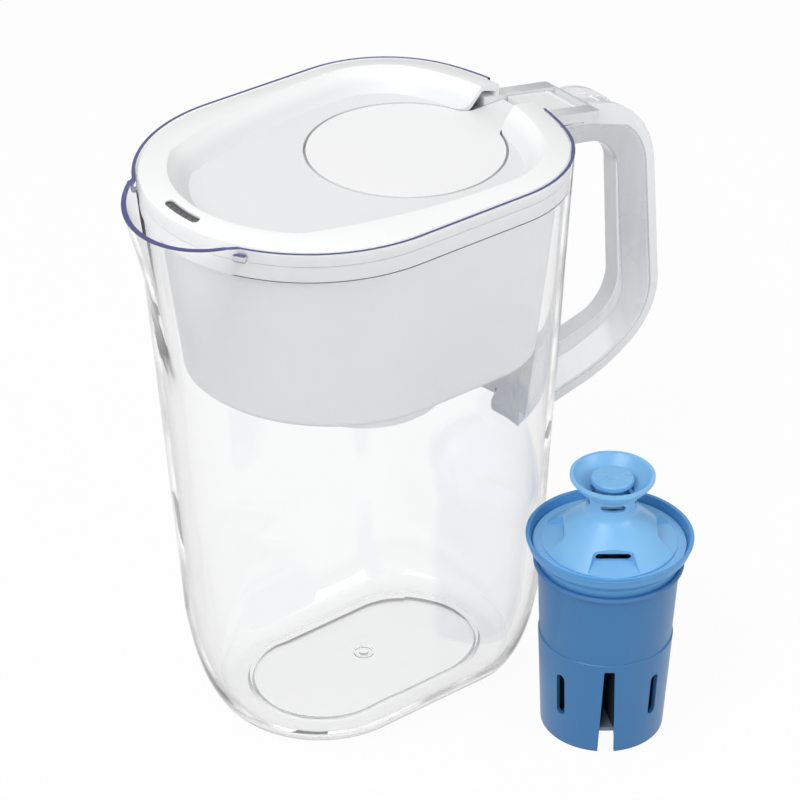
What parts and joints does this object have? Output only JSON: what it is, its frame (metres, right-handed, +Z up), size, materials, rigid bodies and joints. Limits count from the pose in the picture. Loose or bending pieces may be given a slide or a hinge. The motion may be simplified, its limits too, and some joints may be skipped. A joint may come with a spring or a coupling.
{
  "type": "water filter pitcher",
  "caption": "Clear water filter pitcher with pour spout, strap handle, white lift-out reservoir and lid, lever-driven fill door, and a loose blue pleated filter cartridge.",
  "frame": {"origin": "on the standing surface, under the middle of the jug's mouth", "axes": "+X towards the handle with the spout at -X, +Z up, cartridge on the -Y side"},
  "size_m": [0.2686, 0.2003, 0.2595],
  "materials": {
    "clear_plastic": "clear moulded plastic",
    "handle_clear": "clear moulded plastic",
    "handle_white": "smooth white plastic",
    "grip_strip": "satin light grey plastic",
    "reservoir_white": "satin white plastic",
    "lid_white": "satin white plastic",
    "vent_grey": "dark grey plastic",
    "door_white": "satin white plastic",
    "pin_steel": "drawn steel",
    "lever_white": "satin white plastic",
    "cartridge_blue": "smooth blue plastic",
    "cap_blue": "smooth blue plastic",
    "button_blue": "smooth blue plastic",
    "seal_rubber": "soft blue rubber",
    "pleat_fibre": "pleated carbon fibre sheet",
    "inner_plastic": "matt plastic",
    "screen_plastic": "dark moulded mesh"
  },
  "bodies": {
    "pitcher": {"pitcher_body": "clear_plastic", "handle_core": "handle_clear", "handle_cover": "handle_white", "handle_grip": "grip_strip"},
    "reservoir_body": {"reservoir": "reservoir_white"},
    "lid": {"lid_shell": "lid_white", "vent_insert": "vent_grey", "door_hinge_pins": "pin_steel", "lever_pins": "pin_steel"},
    "door": {"fill_door": "door_white"},
    "lever": {"thumb_lever": "lever_white"},
    "cartridge": {"cartridge_shell": "cartridge_blue", "cartridge_cap": "cap_blue", "knob_button": "button_blue", "seal_ring": "seal_rubber", "filter_pleats": "pleat_fibre", "core_tube": "inner_plastic", "filter_end_cap_low": "inner_plastic", "filter_end_cap_top": "inner_plastic", "inlet_screen": "screen_plastic"}
  },
  "joints": [
    {"name": "reservoir_lift", "type": "slide", "parent": "pitcher", "child": "reservoir_body", "axis": [0, 0, 1], "range_m": [0, 0.13]},
    {"name": "lid_lift", "type": "slide", "parent": "reservoir_body", "child": "lid", "axis": [0, 0, 1], "range_m": [0, 0.12]},
    {"name": "door_hinge", "type": "hinge", "parent": "lid", "child": "door", "pos_m": [0.0874, 0, 0.2474], "axis": [0, 1, 0], "range_deg": [0, 65]},
    {"name": "lever_hinge", "type": "hinge", "parent": "lid", "child": "lever", "pos_m": [0.1136, 0, 0.24479], "axis": [0, -1, 0], "range_deg": [0, 16]},
    {"name": "cartridge_lift", "type": "slide", "parent": "pitcher", "child": "cartridge", "axis": [0.3, -0.6, 0.7416], "range_m": [0, 0.12]}
  ],
  "couplings": [
    {"joint": "lever_hinge", "follows": "door_hinge", "ratio": 0.246}
  ]
}
